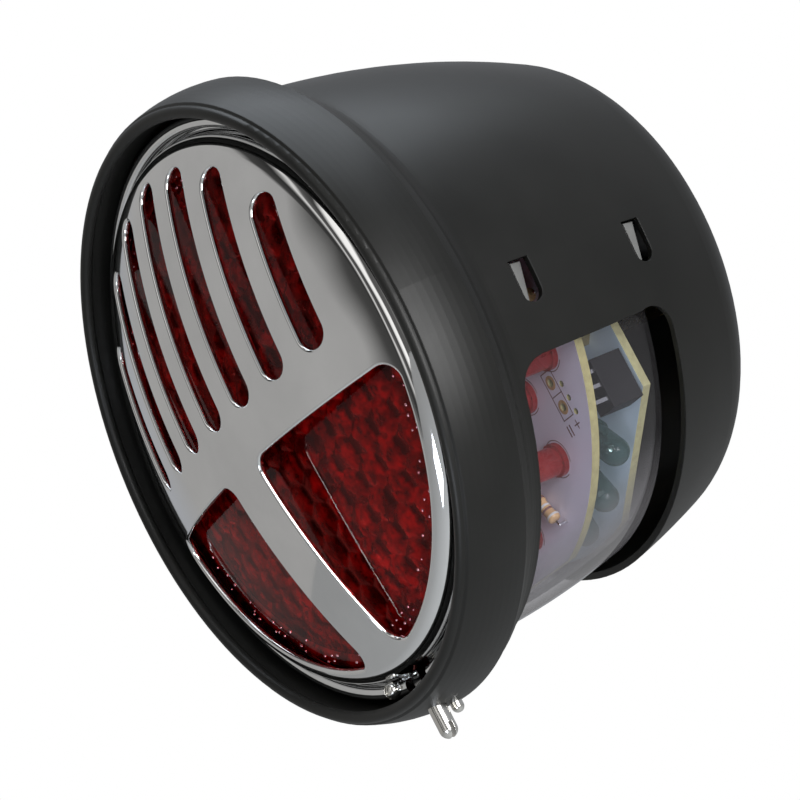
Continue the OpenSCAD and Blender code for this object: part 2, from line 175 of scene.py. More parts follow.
def chrome():
    t = Tree("bright_chrome")
    fine = t.noise(900, 4)
    smear = t.noise(60, 4)
    col = t.mix(t.spread(smear, 0, 1), (0.80, 0.805, 0.81), (0.72, 0.725, 0.73))
    r = t.spread(smear, 0.035, 0.075)
    nor = t.bump(fine, 0.02, 0.00002)
    return t.finish(t.principled(Base_Color=col, Metallic=1.0, Roughness=r, Normal=nor))


def pane(name, tint, haze, haze_share, rough=0.03, ior=1.49, slanted=0.0, bump=0.02):
    """Thin clear plastic: light goes straight through with a tint, mirrored by Fresnel, a little milky."""
    t = Tree(name)
    n = t.noise(160, 3)
    nor = t.bump(n, bump, 0.0001)
    fres = t.node("ShaderNodeFresnel", {"IOR": ior, "Normal": nor}).outputs[0]
    inner = t.node("ShaderNodeNewGeometry").outputs["Backfacing"]
    fres = t.math("MULTIPLY", fres, t.math("SUBTRACT", 1.0, inner))
    clear = t.node("ShaderNodeBsdfTransparent", {"Color": (*tint, 1)}).outputs[0]
    cloud = t.mix(t.spread(n, 0, 1), haze, tuple(0.85 * c for c in haze))
    milk = t.node("ShaderNodeBsdfDiffuse", {"Color": cloud, "Roughness": 0.4}).outputs[0]
    slant = t.node("ShaderNodeLayerWeight", {"Blend": 0.5}).outputs["Facing"]
    share = t.spread(slant, haze_share, haze_share + slanted, 0.5, 0.9)
    body = t.node("ShaderNodeMixShader", {0: share, 1: clear, 2: milk}).outputs[0]
    gloss = t.node("ShaderNodeBsdfGlossy", {"Roughness": rough, "Normal": nor}).outputs[0]
    return t.finish(t.node("ShaderNodeMixShader", {0: fres, 1: body, 2: gloss}))


def lamp(name, tint, base, share):
    """Cast epoxy of a lamp: partly see-through, tinted, glossy, with a painted sheen that turns the colour
    paler at grazing angles.
    """
    t = Tree(name)
    n = t.noise(220, 2)
    col = t.mix(t.spread(n, 0, 1), base, tuple(0.75 * c for c in base))
    clear = t.node("ShaderNodeBsdfTransparent", {"Color": (*tint, 1)}).outputs[0]
    slant = t.node("ShaderNodeLayerWeight", {"Blend": 0.35}).outputs["Facing"]
    # painted sheen: a paler colour mixed in where the surface turns away from the view
    painted_sheen = tuple(min(1.0, 2.2 * c + 0.10) for c in base)
    solid = t.principled(Base_Color=t.mix(t.spread(slant, 0, 0.7, 0.5, 1.0), col, painted_sheen), Roughness=0.06,
                         Specular_IOR_Level=0.6, Coat_Weight=0.6, Coat_Roughness=0.02,
                         Normal=t.bump(n, 0.03, 0.00003)).outputs[0]
    fac = t.spread(slant, share, min(1.0, share + 0.4), 0.0, 1.0)
    return t.finish(t.node("ShaderNodeMixShader", {0: fac, 1: clear, 2: solid}))


def board(name, face, face2, edge):
    """Laminate: solder mask on the faces, bare yellowish glass fibre on the edges."""
    t = Tree(name)
    nrm = t.node("ShaderNodeSeparateXYZ", {0: t.coord.outputs["Normal"]}).outputs["Y"]
    side = t.spread(t.math("ABSOLUTE", nrm), 1, 0, 0.4, 0.6)
    cloud = t.noise(45, 3)
    weave = t.node("ShaderNodeTexBrick", {"Vector": t.coord.outputs["Object"], "Scale": 900.0,
                                          "Mortar Size": 0.02}).outputs["Fac"]
    mask = t.mix(t.spread(cloud, 0, 1), face, face2)
    fibre = t.mix(t.spread(t.noise(900, 4), 0, 1), edge, tuple(0.75 * c for c in edge))
    col = t.mix(side, mask, fibre)
    nor = t.bump(weave, 0.03, 0.00002, t.edge(0.0001))
    return t.finish(t.principled(Base_Color=col, Roughness=t.spread(cloud, 0.32, 0.42), Normal=nor))


def prism_red():
    """Moulded red plastic, with painted shade darkening the grooves between the lens cells."""
    t = Tree("lens_prisms")
    g = t.node("ShaderNodeAttribute", attribute_name="painted_groove_shade").outputs["Fac"]
    n = t.noise(260, 3)
    fine = t.noise(1500, 3)
    streak = t.noise(700, 4)
    lit = t.mix(t.spread(n, 0, 1, 0.36, 0.64), (0.33, 0.008, 0.009), (0.055, 0.002, 0.003))
    lit = t.mix(t.spread(streak, 0, 0.8, 0.42, 0.66), lit, (0.025, 0.002, 0.002))
    # painted shade: the cell walls are darkened in the colour by the groove attribute
    col = t.mix(t.math("MULTIPLY", g, 0.85), lit, (0.016, 0.002, 0.002))
    nor = t.bump(fine, 0.35, 0.00015)
    return t.finish(t.principled(Base_Color=col, Roughness=0.22, Metallic=0.25, Specular_IOR_Level=0.5,
                                 Normal=nor))


PAINT = paint()
CHROME = chrome()
NICKEL = metal("nickel_plate", (0.70, 0.69, 0.66), (0.58, 0.57, 0.54), 0.16)
BRASS = metal("brass_bar", (0.74, 0.60, 0.34), (0.60, 0.47, 0.25), 0.22)
TIN = metal("tinned_wire", (0.78, 0.78, 0.79), (0.66, 0.66, 0.68), 0.18)
SOLDER = metal("solder", (0.72, 0.72, 0.74), (0.60, 0.60, 0.63), 0.25, 0.15, 900, 0.1)
GOLD = plastic("gold_pad", (0.56, 0.36, 0.15), (0.42, 0.26, 0.11), 0.25, 0.1)
BLACKED = metal("blacked_steel", (0.06, 0.06, 0.06), (0.035, 0.035, 0.035), 0.4)
RUBBER = plastic("black_rubber", (0.012, 0.012, 0.012), (0.02, 0.02, 0.02), 0.55, 0.2, 900, 0.2)
RESIN = plastic("black_resin", (0.010, 0.010, 0.012), (0.018, 0.018, 0.020), 0.5, 0.15, 1400, 0.05,
                0.0002, 0.22)
TAN = plastic("tan_coating", (0.66, 0.43, 0.22), (0.56, 0.36, 0.18), 0.22, 0.1)
SLEEVE = plastic("blue_sleeve", (0.03, 0.05, 0.16), (0.02, 0.035, 0.12), 0.2, 0.1)
INK = plastic("dark_ink", (0.16, 0.07, 0.07), (0.22, 0.10, 0.10), 0.5, 0.1)
PALE = plastic("pale_band", (0.70, 0.70, 0.70), (0.60, 0.60, 0.60), 0.35, 0.1)
FRONT_FACE = board("front_board_mask", (0.80, 0.76, 0.88), (0.74, 0.71, 0.84), (0.46, 0.42, 0.20))
REAR_FACE = board("rear_board_mask", (0.62, 0.76, 0.84), (0.56, 0.71, 0.80), (0.50, 0.48, 0.26))
WINDOW = pane("clear_window", (0.95, 0.945, 0.965), (0.17, 0.163, 0.17), 0.05, 0.03, 1.34, 0.8)
SHELL = pane("red_lens_skin", (0.92, 0.34, 0.32), (0.5, 0.01, 0.01), 0.0, 0.02, 1.22)
PRISM = prism_red()
DOT = metal("lens_dots", (0.92, 0.60, 0.66), (0.62, 0.20, 0.26), 0.08, 0.05)
RED_LAMP = lamp("red_lamp", (0.90, 0.20, 0.20), (0.42, 0.012, 0.014), 0.38)
CLEAR_LAMP = lamp("clear_lamp", (0.58, 0.70, 0.67), (0.07, 0.12, 0.11), 0.25)
# painted highlight: a lighter grey for the bent tabs where they catch the light
TAB_HIGHLIGHT = plastic("tab_painted_highlight", (0.16, 0.16, 0.155), (0.10, 0.10, 0.097), 0.3, 0.1)

LOOKS = (
    (PAINT, ("can_body",)),
    (CHROME, ("retaining_ring", "grille_plate")),
    (NICKEL, ("ring_clamp_screw", "board_screws", "lock_screw", "lock_rivet")),
    (BLACKED, ("mounting_nuts",)),
    (RUBBER, ("lens_gasket", "window_gasket", "cable_grommet")),
    (WINDOW, ("window_lens",)),
    (SHELL, ("red_lens",)),
    (FRONT_FACE, ("front_board",)),
    (REAR_FACE, ("rear_board",)),
    (BRASS, ("board_spacers", "rear_standoffs", "board_link_pins")),
    (RED_LAMP, ("red_leds",)),
    (CLEAR_LAMP, ("window_leds",)),
    (TIN, ("red_led_leads", "window_led_leads", "regulator_leads", "resistor_leads", "diode_leads")),
    (RESIN, ("regulator", "diodes")),
    (TAN, ("resistors",)),
    (SLEEVE, ("capacitor",)),
)
for material, names in LOOKS:
    for name in names:
        node = NODES[name]
        if not node.material_slots:
            node.data.materials.append(material)
        for slot in node.material_slots:
            slot.material = material


# ---------------------------------------------------------------- mesh helpers
def make(name, verts, faces, material, body, smooth=40, replaces=()):
    me = bpy.data.meshes.new(name)
    me.from_pydata([tuple(v) for v in verts], [], faces)
    me.materials.append(material)
    bm = bmesh.new()
    bm.from_mesh(me)
    bmesh.ops.remove_doubles(bm, verts=bm.verts, dist=2e-7)
    bmesh.ops.recalc_face_normals(bm, faces=bm.faces)
    bm.to_mesh(me)
    bm.free()
    for p in me.polygons:
        p.use_smooth = True
    me.set_sharp_from_angle(angle=math.radians(smooth))
    o = bpy.data.objects.new(name, me)
    bpy.context.scene.collection.objects.link(o)
    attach(o, body)
    if replaces:
        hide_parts(*replaces)
    return o


class Mesh:
    """Gathers solids into one mesh."""

    def __init__(self):
        self.v, self.f = [], []

    def add(self, verts, faces):
        k = len(self.v)
        self.v += verts
        self.f += [tuple(i + k for i in f) for f in faces]

    def turned(self, origin, axis, profile, n=16):
        """A profile of (radius, height) turned about axis at origin, with a flat cap at each end."""
        z = axis.normalized()
        a = z.orthogonal().normalized()
        b = z.cross(a)
        verts, faces = [], []
        for r, h in profile:
            for i in range(n):
                t = 2 * math.pi * i / n
                verts.append(origin + (a * math.cos(t) + b * math.sin(t)) * r * 0.001 + z * h * 0.001)
        for j in range(len(profile) - 1):
            for i in range(n):
                k = (i + 1) % n
                faces.append((j * n + i, j * n + k, (j + 1) * n + k, (j + 1) * n + i))
        faces.append(tuple(range(n - 1, -1, -1)))
        faces.append(tuple((len(profile) - 1) * n + i for i in range(n)))
        self.add(verts, faces)

    def ring(self, origin, axis, profile, n=24):
        """A closed loop of (radius, height) turned about axis at origin."""
        k = len(self.f)
        self.turned(origin, axis, profile + profile[:1], n)
        del self.f[-2:]

    def box(self, centre, ax, ay, az):
        """A box with half-sizes along three vectors, in metres."""
        verts = [centre + sx * ax + sy * ay + sz * az for sx in (-1, 1) for sy in (-1, 1) for sz in (-1, 1)]
        self.add(verts, [(0, 1, 3, 2), (4, 6, 7, 5), (0, 4, 5, 1), (2, 3, 7, 6), (0, 2, 6, 4), (1, 5, 7, 3)])


def lathe(profile, n=256, closed=False):
    """Vertices and faces of a path of (r, w) turned about the Y axis."""
    verts, faces = [], []
    for r, w in profile:
        for i in range(n):
            t = 2 * math.pi * i / n
            verts.append(P(r * math.sin(t), r * math.cos(t), w))
    m = len(profile)
    for j in range(m if closed else m - 1):
        q = (j + 1) % m
        for i in range(n):
            k = (i + 1) % n
            faces.append((j * n + i, j * n + k, q * n + k, q * n + i))
    return verts, faces


# ---------------------------------------------------------------- grille
# dome radius, depth of its top, sheet thickness and skirt radius
GR, GA, GT, GE = 118.75, -7.6, 1.1, 48.15
# openings: outer radius, slot width and pitch, bar's lower edge, half strut, rolled edge, quadrant corner
OPEN_R, SLOT_W, PITCH, BAR, STRUT, EDGE, CORNER = 44.85, 5.6, 10.8, 7.0, 5.5, 0.5, 3.2
SHOULDER = 4.0
# flange shared with the red lens: outer radius, depth of its front and of the face between the two
FLANGE_R, FLANGE_AT, FLANGE_MID = 51.35, 6.9, 7.9
NOTCH_HALF, NOTCH_R = 2.5, 47.55
fr_c = GE - SHOULDER
fr_w = GA + GR - math.sqrt((GR - SHOULDER) ** 2 - fr_c ** 2)
phi1 = math.asin(fr_c / (GR - SHOULDER))
R1 = GR * math.sin(phi1)


def slot_outline(x):
    """A function that gives the outline of the slot at x, grown outwards by d."""
    top = -math.sqrt(OPEN_R ** 2 - (abs(x) + SLOT_W / 2) ** 2) + SLOT_W / 2
    low = -SLOT_W / 2 - 1

    def grown(d):
        r = SLOT_W / 2 + d
        n = int((low - top) / 0.8)
        left = [(x - r, low + (top - low) * i / n) for i in range(1, n)]
        rightside = [(x + r, top + (low - top) * i / n) for i in range(1, n)]
        a = [(x + r * math.cos(t), top + r * math.sin(t)) for t in np.linspace(math.pi, 2 * math.pi, 21)]
        b = [(x + r * math.cos(t), low + r * math.sin(t)) for t in np.linspace(0, math.pi, 21)]
        return a + rightside + b + left
    return grown


def quadrant_outline(side):
    """A function that gives the outline of one lower opening, grown outwards by d."""
    c = CORNER
    x0, y0 = STRUT + c, BAR + c
    rr = OPEN_R - c
    a0, a1 = math.asin(y0 / rr), math.acos(x0 / rr)
    bx, cy = rr * math.cos(a0), rr * math.sin(a1)

    def grown(d):
        r = c + d
        pts = [(x0 + r * math.cos(t), y0 + r * math.sin(t)) for t in np.linspace(math.pi, 1.5 * math.pi, 14)]
        n = int((bx - x0) / 0.8)
        pts += [(x0 + (bx - x0) * i / n, BAR - d) for i in range(1, n)]
        pts += [(bx + r * math.cos(t), y0 + r * math.sin(t)) for t in np.linspace(-math.pi / 2, a0, 18)]
        pts += [((OPEN_R + d) * math.cos(t), (OPEN_R + d) * math.sin(t))
                for t in np.linspace(a0, a1, 62)[1:-1]]
        pts += [(x0 + r * math.cos(t), cy + r * math.sin(t)) for t in np.linspace(a1, math.pi, 18)]
        n = int((cy - y0) / 0.8)
        pts += [(STRUT - d, cy + (y0 - cy) * i / n) for i in range(1, n)]
        return [(side * x, y) for x, y in pts]
    return grown


def on_dome(x, v, h):
    """Point h below the grille's front face."""
    w = GA + GR - math.sqrt(GR * GR - x * x - v * v)
    return P(x - x / GR * h, v - v / GR * h, w + (GA + GR - w) / GR * h)


def distance_to(poly, pts):
    """Distance from points to a closed outline, and whether they lie inside."""
    a = np.array(poly)
    b = np.roll(a, -1, 0)
    d = b - a
    best = np.full(len(pts), 1e9)
    inside = np.zeros(len(pts), bool)
    for (ax, ay), (dx, dy) in zip(a, d):
        px, py = pts[:, 0] - ax, pts[:, 1] - ay
        t = np.clip((px * dx + py * dy) / (dx * dx + dy * dy), 0, 1)
        best = np.minimum(best, np.hypot(px - t * dx, py - t * dy))
        if dy != 0:
            level = (ay > pts[:, 1]) != (ay + dy > pts[:, 1])
            inside ^= level & (pts[:, 0] < ax + dx * (pts[:, 1] - ay) / dy)
    return best, inside


def build_grille():
    holes = [slot_outline(i * PITCH) for i in range(-3, 4)] + [quadrant_outline(1), quadrant_outline(-1)]
    n_out = 360
    turns = [2 * math.pi * i / n_out for i in range(n_out)]
    rim = [(R1 * math.sin(t), R1 * math.cos(t)) for t in turns]
    grid = []
    s = 1.5
    for j in range(-40, 41):
        for i in range(-40, 41):
            grid.append((i * s + (j % 2) * s / 2, j * s * 0.866))
    grid = np.array(grid)
    keep = np.hypot(grid[:, 0], grid[:, 1]) < R1 - 0.9
    grid = grid[keep]
    loops = [h(EDGE) for h in holes]
    for lp in loops:
        d, ins = distance_to(lp, grid)
        grid = grid[(d > 0.7) & ~ins]
    coords, edges = [], []
    for lp in [rim] + loops:
        k = len(coords)
        coords += [Vector(p) for p in lp]
        edges += [(k + i, k + (i + 1) % len(lp)) for i in range(len(lp))]
    coords += [Vector(p) for p in grid]
    v2, _, f2, _, _, _ = delaunay_2d_cdt(coords, edges, [], 0, 1e-5)
    pts = np.array([tuple(v) for v in v2])
    tri = np.array([tuple(f) for f in f2])
    cen = pts[tri].mean(1)
    good = np.hypot(cen[:, 0], cen[:, 1]) < R1 * math.cos(math.pi / n_out)
    for lp in loops:
        _, ins = distance_to(lp, cen)
        good &= ~ins
    tri = tri[good]
    m = Mesh()
    m.add([on_dome(x, v, 0) for x, v in pts], [tuple(int(i) for i in t) for t in tri])
    m.add([on_dome(x, v, GT) for x, v in pts], [tuple(int(i) for i in t[::-1]) for t in tri])
    for h in holes:
        rings = [[on_dome(x, v, 0) for x, v in h(EDGE)]]
        for a in (0.4, 0.8, 1.2, math.pi / 2):
            rings.append([on_dome(x, v, EDGE * (1 - math.cos(a))) for x, v in h(EDGE * (1 - math.sin(a)))])
        rings.append([on_dome(x, v, GT - 0.12) for x, v in h(0)])
        rings.append([on_dome(x, v, GT) for x, v in h(0.12)])
        rings.append([on_dome(x, v, GT) for x, v in h(EDGE)])
        n = len(rings[0])
        verts = [p for ring in rings for p in ring]
        faces = [(j * n + i, j * n + (i + 1) % n, (j + 1) * n + (i + 1) % n, (j + 1) * n + i)
                 for j in range(len(rings) - 1) for i in range(n)]
        m.add(verts, faces)
    # shoulder, skirt and flange
    prof = [(R1, GA + GR - math.sqrt(GR * GR - R1 * R1))]
    for a in np.linspace(phi1, math.pi / 2, 12)[1:]:
        prof.append((fr_c + SHOULDER * math.sin(a), fr_w - SHOULDER * math.cos(a)))
    for a in np.linspace(0, math.pi / 2, 6):
        prof.append((GE + 0.5 - 0.5 * math.cos(a), FLANGE_AT - 0.5 + 0.5 * math.sin(a)))
    prof += [(FLANGE_R - 0.15, FLANGE_AT), (FLANGE_R, FLANGE_AT + 0.15), (FLANGE_R, FLANGE_MID - 0.1),
             (FLANGE_R - 0.15, FLANGE_MID), (GE - GT, FLANGE_MID)]
    for a in np.linspace(math.pi / 2, phi1, 10):
        prof.append((fr_c + (SHOULDER - GT) * math.sin(a), fr_w - (SHOULDER - GT) * math.cos(a)))
    rb = R1 * (1 - GT / GR)
    prof.append((rb, GA + GR - math.sqrt(GR * GR - R1 * R1) + GT * math.sqrt(1 - (R1 / GR) ** 2)))
    m.add(*lathe(prof, n_out))
    o = make("grille", m.v, m.f, CHROME, "cover", 50, ("grille_plate",))
    # cut the notch where the lock screw passes
    bm = bmesh.new()
    bm.from_mesh(o.data)
    gone = []
    for f in bm.faces:
        c = f.calc_center_median() * 1000
        if abs(c.x) < NOTCH_HALF and -c.z > NOTCH_R:
            gone.append(f)
    bmesh.ops.delete(bm, geom=gone, context="FACES")
    bm.to_mesh(o.data)
    bm.free()
    # exact normals on the dome keep its reflections smooth
    centre = P(0, 0, GA + GR)
    normals = []
    for p in o.data.vertices:
        d = p.co - centre
        normals.append(d.normalized() if abs(d.length * 1000 - GR) < 0.002 else Vector((0, 0, 0)))
    o.data.normals_split_custom_set_from_vertices(normals)


build_grille()


# ---------------------------------------------------------------- red lens
# dome radius, depth of its top, thickness, skirt radius, back of its flange
LR, LA, LT, LE, FLANGE_BACK = 192.6, -1.91, 2.4, 46.15, 10.4


def lens_front(r):
    return LA + LR - math.sqrt(LR * LR - r * r)


def build_lens():
    f = 1.6
    c = LE - f
    cw = LA + LR - math.sqrt((LR - f) ** 2 - c * c)
    a1 = math.asin(c / (LR - f))
    prof = [(r, lens_front(r)) for r in np.linspace(0.01, LR * math.sin(a1), 60)]
    prof += [(c + f * math.sin(a), cw - f * math.cos(a)) for a in np.linspace(a1, math.pi / 2, 8)[1:]]
    prof += [(LE, FLANGE_MID - 0.3), (LE + 0.3, FLANGE_MID), (FLANGE_R - 0.2, FLANGE_MID),
             (FLANGE_R, FLANGE_MID + 0.2), (FLANGE_R, FLANGE_BACK - 0.2), (FLANGE_R - 0.2, FLANGE_BACK),
             (LE - LT, FLANGE_BACK)]
    prof += [(LE - LT, 6.2), (LE - LT - 0.8, 5.3)]
    prof += [(r, lens_front(r) + LT) for r in np.linspace(LE - LT - 1.4, 0.01, 30)]
    v, fa = lathe(prof, 256)
    make("red_lens_skin", v, fa, SHELL, "cover", 40, ("red_lens",))

    # prism cells: rows of six-sided pillows on the inner face
    pitch, row, deep = 6.3, 5.05, 0.62
    ca, sa = math.cos(math.radians(4)), math.sin(math.radians(4))
    s = 0.32
    n = int(2 * 46 / s)
    xs = (np.arange(n + 1) - n / 2) * s
    X, V = np.meshgrid(xs, xs)
    r = np.hypot(X, V)
    U, T = ca * X - sa * V - 1.2, sa * X + ca * V + 0.1
    best = None
    for parity in (0, 1):
        j = np.round((T - parity * row) / (2 * row)) * 2 + parity
        i = np.round((U - (parity * 0.5) * pitch) / pitch)
        du, dt = U - (i + parity * 0.5) * pitch, T - j * row
        side = np.abs(du) / (pitch / 2)
        slope = np.maximum(np.abs(du * 0.5 + dt * 0.92), np.abs(du * 0.5 - dt * 0.92)) / (pitch / 2)
        m = np.maximum(side, slope)
        if best is None:
            best, bs, bt = m, side, np.abs(dt)
        else:
            take = m < best
            best, bs = np.where(take, m, best), np.where(take, side, bs)
            bt = np.where(take, np.abs(dt), bt)
    m = np.clip(best, 0, 1)
    height = deep * (1 - m ** 2.6)
    # painted shade: how dark the steep side walls between the cells are painted
    wall_shade = np.clip((bs - 0.66) / 0.2, 0, 1) * np.clip((2.2 - bt) / 0.7, 0, 1)
    border = np.clip((r - 40.2) / 1.2, 0, 1)
    height = height * (1 - border) + 0.35 * border
    W = LA + LR - np.sqrt(LR * LR - np.minimum(r, 46) ** 2) + LT - 0.05 - height
    inside = r < 43.4
    idx = -np.ones(X.shape, int)
    idx[inside] = np.arange(inside.sum())
    verts = [P(x, v, w) for x, v, w in zip(X[inside], V[inside], W[inside])]
    quads = np.stack([idx[:-1, :-1], idx[:-1, 1:], idx[1:, 1:], idx[1:, :-1]], -1).reshape(-1, 4)
    quads = quads[(quads >= 0).all(1)]
    cells = [tuple(int(i) for i in q) for q in quads]
    o = make("red_lens_prisms", verts, cells, PRISM, "cover", 180)
    # painted shade on the cell walls, stored per point; no two points are close enough to merge, so their
    # order is kept
    g = o.data.attributes.new("painted_groove_shade", "FLOAT", "POINT")
    g.data.foreach_set("value", (wall_shade * (1 - border))[inside].astype(np.float32))
    o.modifiers.new("thickness", "SOLIDIFY").thickness = 0.0002
    # red body under the outer edge of the skin
    inner = [(43.2, lens_front(43.2) + 1.7), (44.4, lens_front(44.4) + 1.0), (45.3, 4.5), (45.8, 5.4),
             (45.9, 7.7)]
    ring = inner + [(r - 0.35, w + 0.12) for r, w in inner[::-1]]
    v, fa = lathe(ring, 180, True)
    make("red_lens_border", v, fa, PRISM, "cover", 50)
    # stippled border: small domes in three rows
    d = Mesh()
    for rr, count, off in ((41.4, 112, 0.0), (42.8, 118, 1.5), (44.2, 124, 0.7)):
        for i in range(count):
            a = 360 / count * i + off + rng.uniform(-0.5, 0.5)
            if rng.random() < (0.35 if 0 < a % 360 < 180 else 0.6):
                continue
            x, v = at(a, rr + rng.uniform(-0.5, 0.5))
            q = rng.uniform(0.18, 0.34)
            w = lens_front(math.hypot(x, v)) - 0.02
            prof = [(q, 0.15), (q * 0.95, 0.0), (q * 0.7, -0.1), (q * 0.3, -0.15)]
            d.turned(P(x, v, w), Vector((0, 1, 0)), prof[::-1], 10)
    make("red_lens_dots", d.v, d.f, DOT, "cover", 60)


build_lens()


# ---------------------------------------------------------------- lamps' insides
FRONT_BOARD, LED_BACK, LED_H, LEAD = 34.5, 44.1, 8.6, 1.27
RED_RINGS = ((36.5, 12, 8), (28.5, 12, 23), (20.5, 8, 22.5), (10, 4, 0))


def dies(name, places):
    """Posts and cup inside each lamp; a place is its foot, its axis and the way across its two legs."""
    m = Mesh()
    for origin, out, side in places:
        # cathode post with cup, and anode post
        for s, h, wd in ((-1, 4.6, 0.55), (1, 4.2, 0.4)):
            base = origin + side * (s * LEAD * 0.001)
            mid = base + out * (h / 2 * 0.001) - side * (s * 0.35 * 0.001)
            m.box(mid, side * (wd * 0.001), out.cross(side) * 0.00022, out * (h / 2 * 0.001))
        cup = origin - side * 0.0003 + out * 0.0044
        m.turned(cup, out, [(0.45, 0), (0.95, 0.9), (0.8, 0.9), (0.3, 0.35)], 12)
    make(name, m.v, m.f, TIN, "can", 40)


lo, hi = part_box("front_board")
SCALE = (hi.x - lo.x) * 500 / 44.8
led_places = []
for r, n, off in RED_RINGS:
    for i in range(n):
        a = off + i * 360 / n
        x, v = at(a, r * SCALE)
        t = math.radians(90 - a)
        led_places.append((P(x, v, FRONT_BOARD), Vector((0, -1, 0)), Vector((math.cos(t), 0, -math.sin(t)))))
dies("red_led_dies", led_places)

wlo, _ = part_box("window_leds")
places = []
for a in (-37.5, -22.5, -7.5, 7.5, 22.5, 37.5):
    x, v = at(a, -wlo.z * 1000 - LED_H)
    t = math.radians(a)
    out = Vector((math.sin(t), 0, -math.cos(t)))
    side = Vector((math.cos(t), 0, math.sin(t)))
    places.append((P(x, v, LED_BACK), out, side))
dies("window_led_dies", places)


# ---------------------------------------------------------------- small board parts
def resistor_bodies():
    m, ring = Mesh(), []
    for a in (23, 83, 143, 203, 263, 323):
        x, v = at(a, 37.5 * SCALE)
        t = math.radians(a)
        axis = Vector((math.sin(t), 0, -math.cos(t)))
        o = P(x, v, 33.05)
        prof = [(0.3, -2.6), (0.95, -2.55), (1.15, -2.2), (1.15, -1.6), (0.98, -1.2), (0.95, 0), (0.98, 1.2),
                (1.15, 1.6), (1.15, 2.2), (0.95, 2.55), (0.3, 2.6)]
        m.turned(o, axis, prof, 24)
        ring.append((o, axis))
    make("resistor_bodies", m.v, m.f, TAN, "can", 60, ("resistors",))
    for name, h, material in (("resistor_bands_dark", (-1.9, 0.45), INK),
                              ("resistor_bands_pale", (-0.35, 1.9), PALE)):
        b = Mesh()
        for o, axis in ring:
            for c in h:
                q = 1.17 if abs(c) > 1.5 else 0.985
                band = [(q - 0.08, c - 0.22), (q, c - 0.2), (q, c + 0.2), (q - 0.08, c + 0.22)]
                b.turned(o, axis, band, 24)
        make(name, b.v, b.f, material, "can", 60)


resistor_bodies()


BOARD_T = 0.0016
PAD_X, PAD_V, PAD_APART = 31.8 - 1, 21.8 - 1.55, 2.25
MARK_R, MARK_GAP, MARK_STEPS = 3.25, 0.4, 26


def board_trim():
    """Plated pads and printed outlines on the front board's front, solder joints on its back."""
    pads, ink, tin = Mesh(), Mesh(), Mesh()
    front, rear = Vector((0, -1, 0)), Vector((0, 1, 0))
    thin = front * 0.00001

    def stroke(p, q, half, over=0.0):
        """A printed line from p to q, over metres longer at each end."""
        d = q - p
        u = d.normalized()
        ink.box((p + q) / 2 + thin, u * (d.length / 2 + over), thin, front.cross(u) * half)

    def bar(x0, v0, x1, v1, wide=0.18):
        stroke(P(x0, v0, FRONT_BOARD), P(x1, v1, FRONT_BOARD), wide * 0.0005, wide * 0.0005)

    x, v = PAD_X, PAD_V
    for s in (-PAD_APART, PAD_APART):
        pads.ring(P(x, v + s, FRONT_BOARD), front, [(0.7, 0.0), (1.25, 0.0), (1.25, 0.035), (0.7, 0.035)])
    for s in (-1, 1):
        bar(x + s * 1.6, v - 4.2, x + s * 1.6, v + 4.2)
        bar(x - 1.6, v + s * 4.2, x + 1.6, v + s * 4.2)
    bar(x - 1.6, v, x + 1.6, v)
    # plain polarity cross and two strokes below the pads
    bar(x + 0.6, v + 5.9, x + 2.0, v + 5.9, 0.22)
    bar(x + 1.3, v + 5.2, x + 1.3, v + 6.6, 0.22)
    for s in (-1.7, -0.9):
        bar(x + s, v + 5.3, x + s, v + 7.0, 0.3)
    joint = [(0.95, 0), (0.9, 0.1), (0.5, 0.5), (0.3, 0.85)]
    for o, _, side in led_places:
        # round outline with a gap, as printed under each lamp
        across = rear.cross(side)
        span = (2 * math.pi - 2 * MARK_GAP) / MARK_STEPS
        turns = [MARK_GAP + i * span for i in range(MARK_STEPS + 1)]
        mark = [o + (side * math.cos(t) + across * math.sin(t)) * MARK_R * 0.001 for t in turns]
        for p, q in zip(mark, mark[1:]):
            stroke(p, q, 0.00008)
        for s in (-1, 1):
            tin.turned(o + side * (s * LEAD * 0.001) + rear * BOARD_T, rear, joint, 12)
    make("board_pads", pads.v, pads.f, GOLD, "can", 40)
    make("board_print", ink.v, ink.f, INK, "can", 40)
    make("solder_joints", tin.v, tin.f, SOLDER, "can", 60)


board_trim()


# the barrel's arc seen from the side: radius, its centre's radius and depth
BARREL_R, BARREL_C, BARREL_AT, WALL = 150.003, -98.403, 16.5, 1.2
TAB_ANGLE, TAB_BEND = 84.5, 24


def tab_faces():
    """Thin pale faces on the four bent tabs, a painted highlight where the tabs catch the light."""
    m = Mesh()
    c, q = math.cos(math.radians(TAB_BEND)), math.sin(math.radians(TAB_BEND))
    for s in (-1, 1):
        for w in (25.8, 51.6):
            a = math.radians(s * TAB_ANGLE)
            out, rear = Vector((math.sin(a), 0, -math.cos(a))), Vector((0, 1, 0))
            down = Vector((-s * math.cos(a), 0, -abs(math.sin(a))))
            r0 = BARREL_C + math.sqrt(BARREL_R ** 2 - (w - 2 - BARREL_AT) ** 2) - WALL
            hinge = P(r0 * math.sin(a), r0 * math.cos(a), w - 2.05)
            verts = []
            for h in (0.98, 1.04):
                for tx, ty in ((-3.3, 0.0), (-3.3, 3.0), (3.2, 0.72), (3.2, 0.0)):
                    along = down * tx + (rear * c - out * q) * ty
                    verts.append(hinge + (along + (out * c + rear * q) * h) * 0.001)
            m.add(verts, [(3, 2, 1, 0), (4, 5, 6, 7), (0, 1, 5, 4), (1, 2, 6, 5), (2, 3, 7, 6),
                          (3, 0, 4, 7)])
    make("tab_faces", m.v, m.f, TAB_HIGHLIGHT, "can", 30)


tab_faces()


